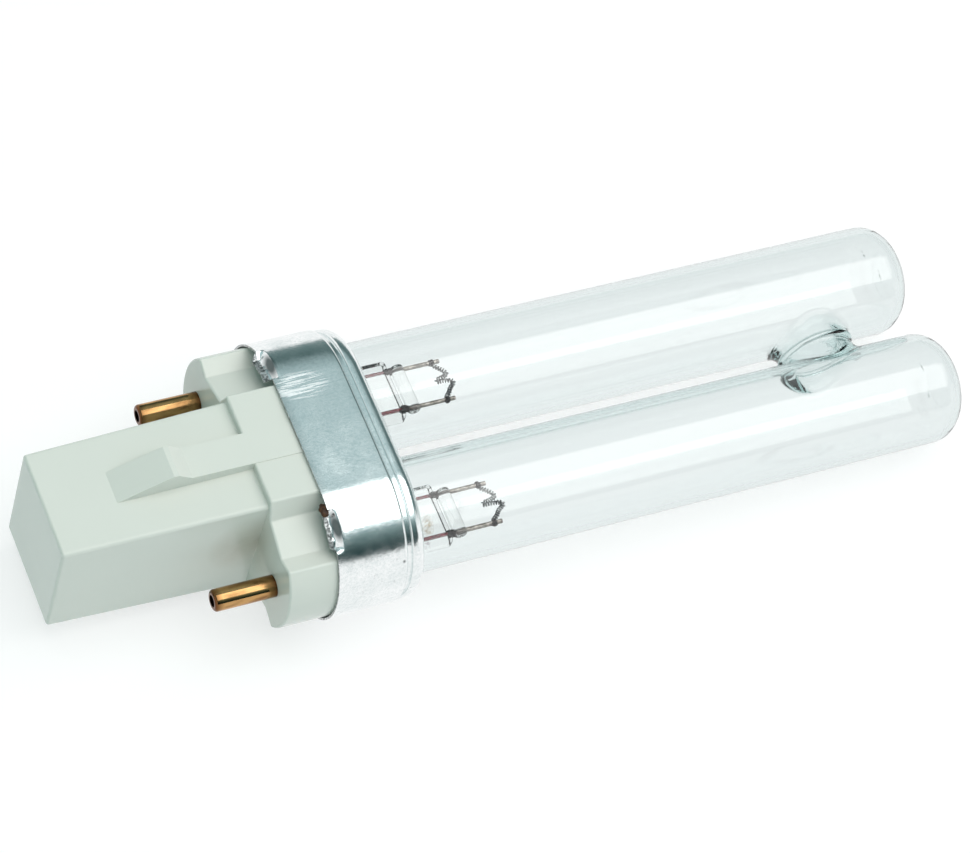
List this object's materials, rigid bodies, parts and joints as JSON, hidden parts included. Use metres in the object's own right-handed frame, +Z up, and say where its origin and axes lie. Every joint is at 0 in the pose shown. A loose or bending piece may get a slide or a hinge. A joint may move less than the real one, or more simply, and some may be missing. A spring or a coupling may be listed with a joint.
{
  "type": "uv-c lamp",
  "caption": "Clear ultraviolet-C lamp: parallel glass tubes joined by a bridge, crimped aluminium cap and white plug-in base with brass pins.",
  "frame": {"origin": "middle of the base's pin face, midway between the pins", "axes": "+X along the lamp from the base post to the tube ends, +Y to the left tube, +Z up through the broad face"},
  "size_m": [0.1042, 0.0316, 0.02],
  "materials": {
    "white_plastic": "satin",
    "brass_pin": "polished",
    "aluminium_cap": "bright drawn",
    "cement": "matte",
    "clear_glass": "clear",
    "stem_glass": "clear",
    "bead_glass": "clear",
    "starter_glass": "clear",
    "tungsten": "coiled, oxide coated",
    "nickel": "drawn",
    "seal_wire": "copper coated, glazed",
    "hookup_wire": "tinned",
    "strip_metal": "rolled",
    "capacitor_coat": "dipped"
  },
  "bodies": {
    "root": {"base_housing": "white_plastic", "basing_cement": "cement", "bead_left": "bead_glass", "bead_right": "bead_glass", "bimetal_strip": "strip_metal", "capacitor": "capacitor_coat", "capacitor_lead_left": "hookup_wire", "capacitor_lead_right": "hookup_wire", "contact_pin_left": "brass_pin", "contact_pin_right": "brass_pin", "filament_left": "tungsten", "filament_right": "tungsten", "glass_envelope": "clear_glass", "metal_cap": "aluminium_cap", "nickel_lead_left_inner": "nickel", "nickel_lead_left_outer": "nickel", "nickel_lead_right_inner": "nickel", "nickel_lead_right_outer": "nickel", "pin_wire_left": "hookup_wire", "pin_wire_right": "hookup_wire", "seal_wire_left_inner": "seal_wire", "seal_wire_left_outer": "seal_wire", "seal_wire_right_inner": "seal_wire", "seal_wire_right_outer": "seal_wire", "starter_bulb": "starter_glass", "starter_lead_left": "hookup_wire", "starter_lead_right": "hookup_wire", "starter_wire_left": "hookup_wire", "starter_wire_right": "hookup_wire", "stem_left": "stem_glass", "stem_right": "stem_glass"}
  },
  "joints": []
}
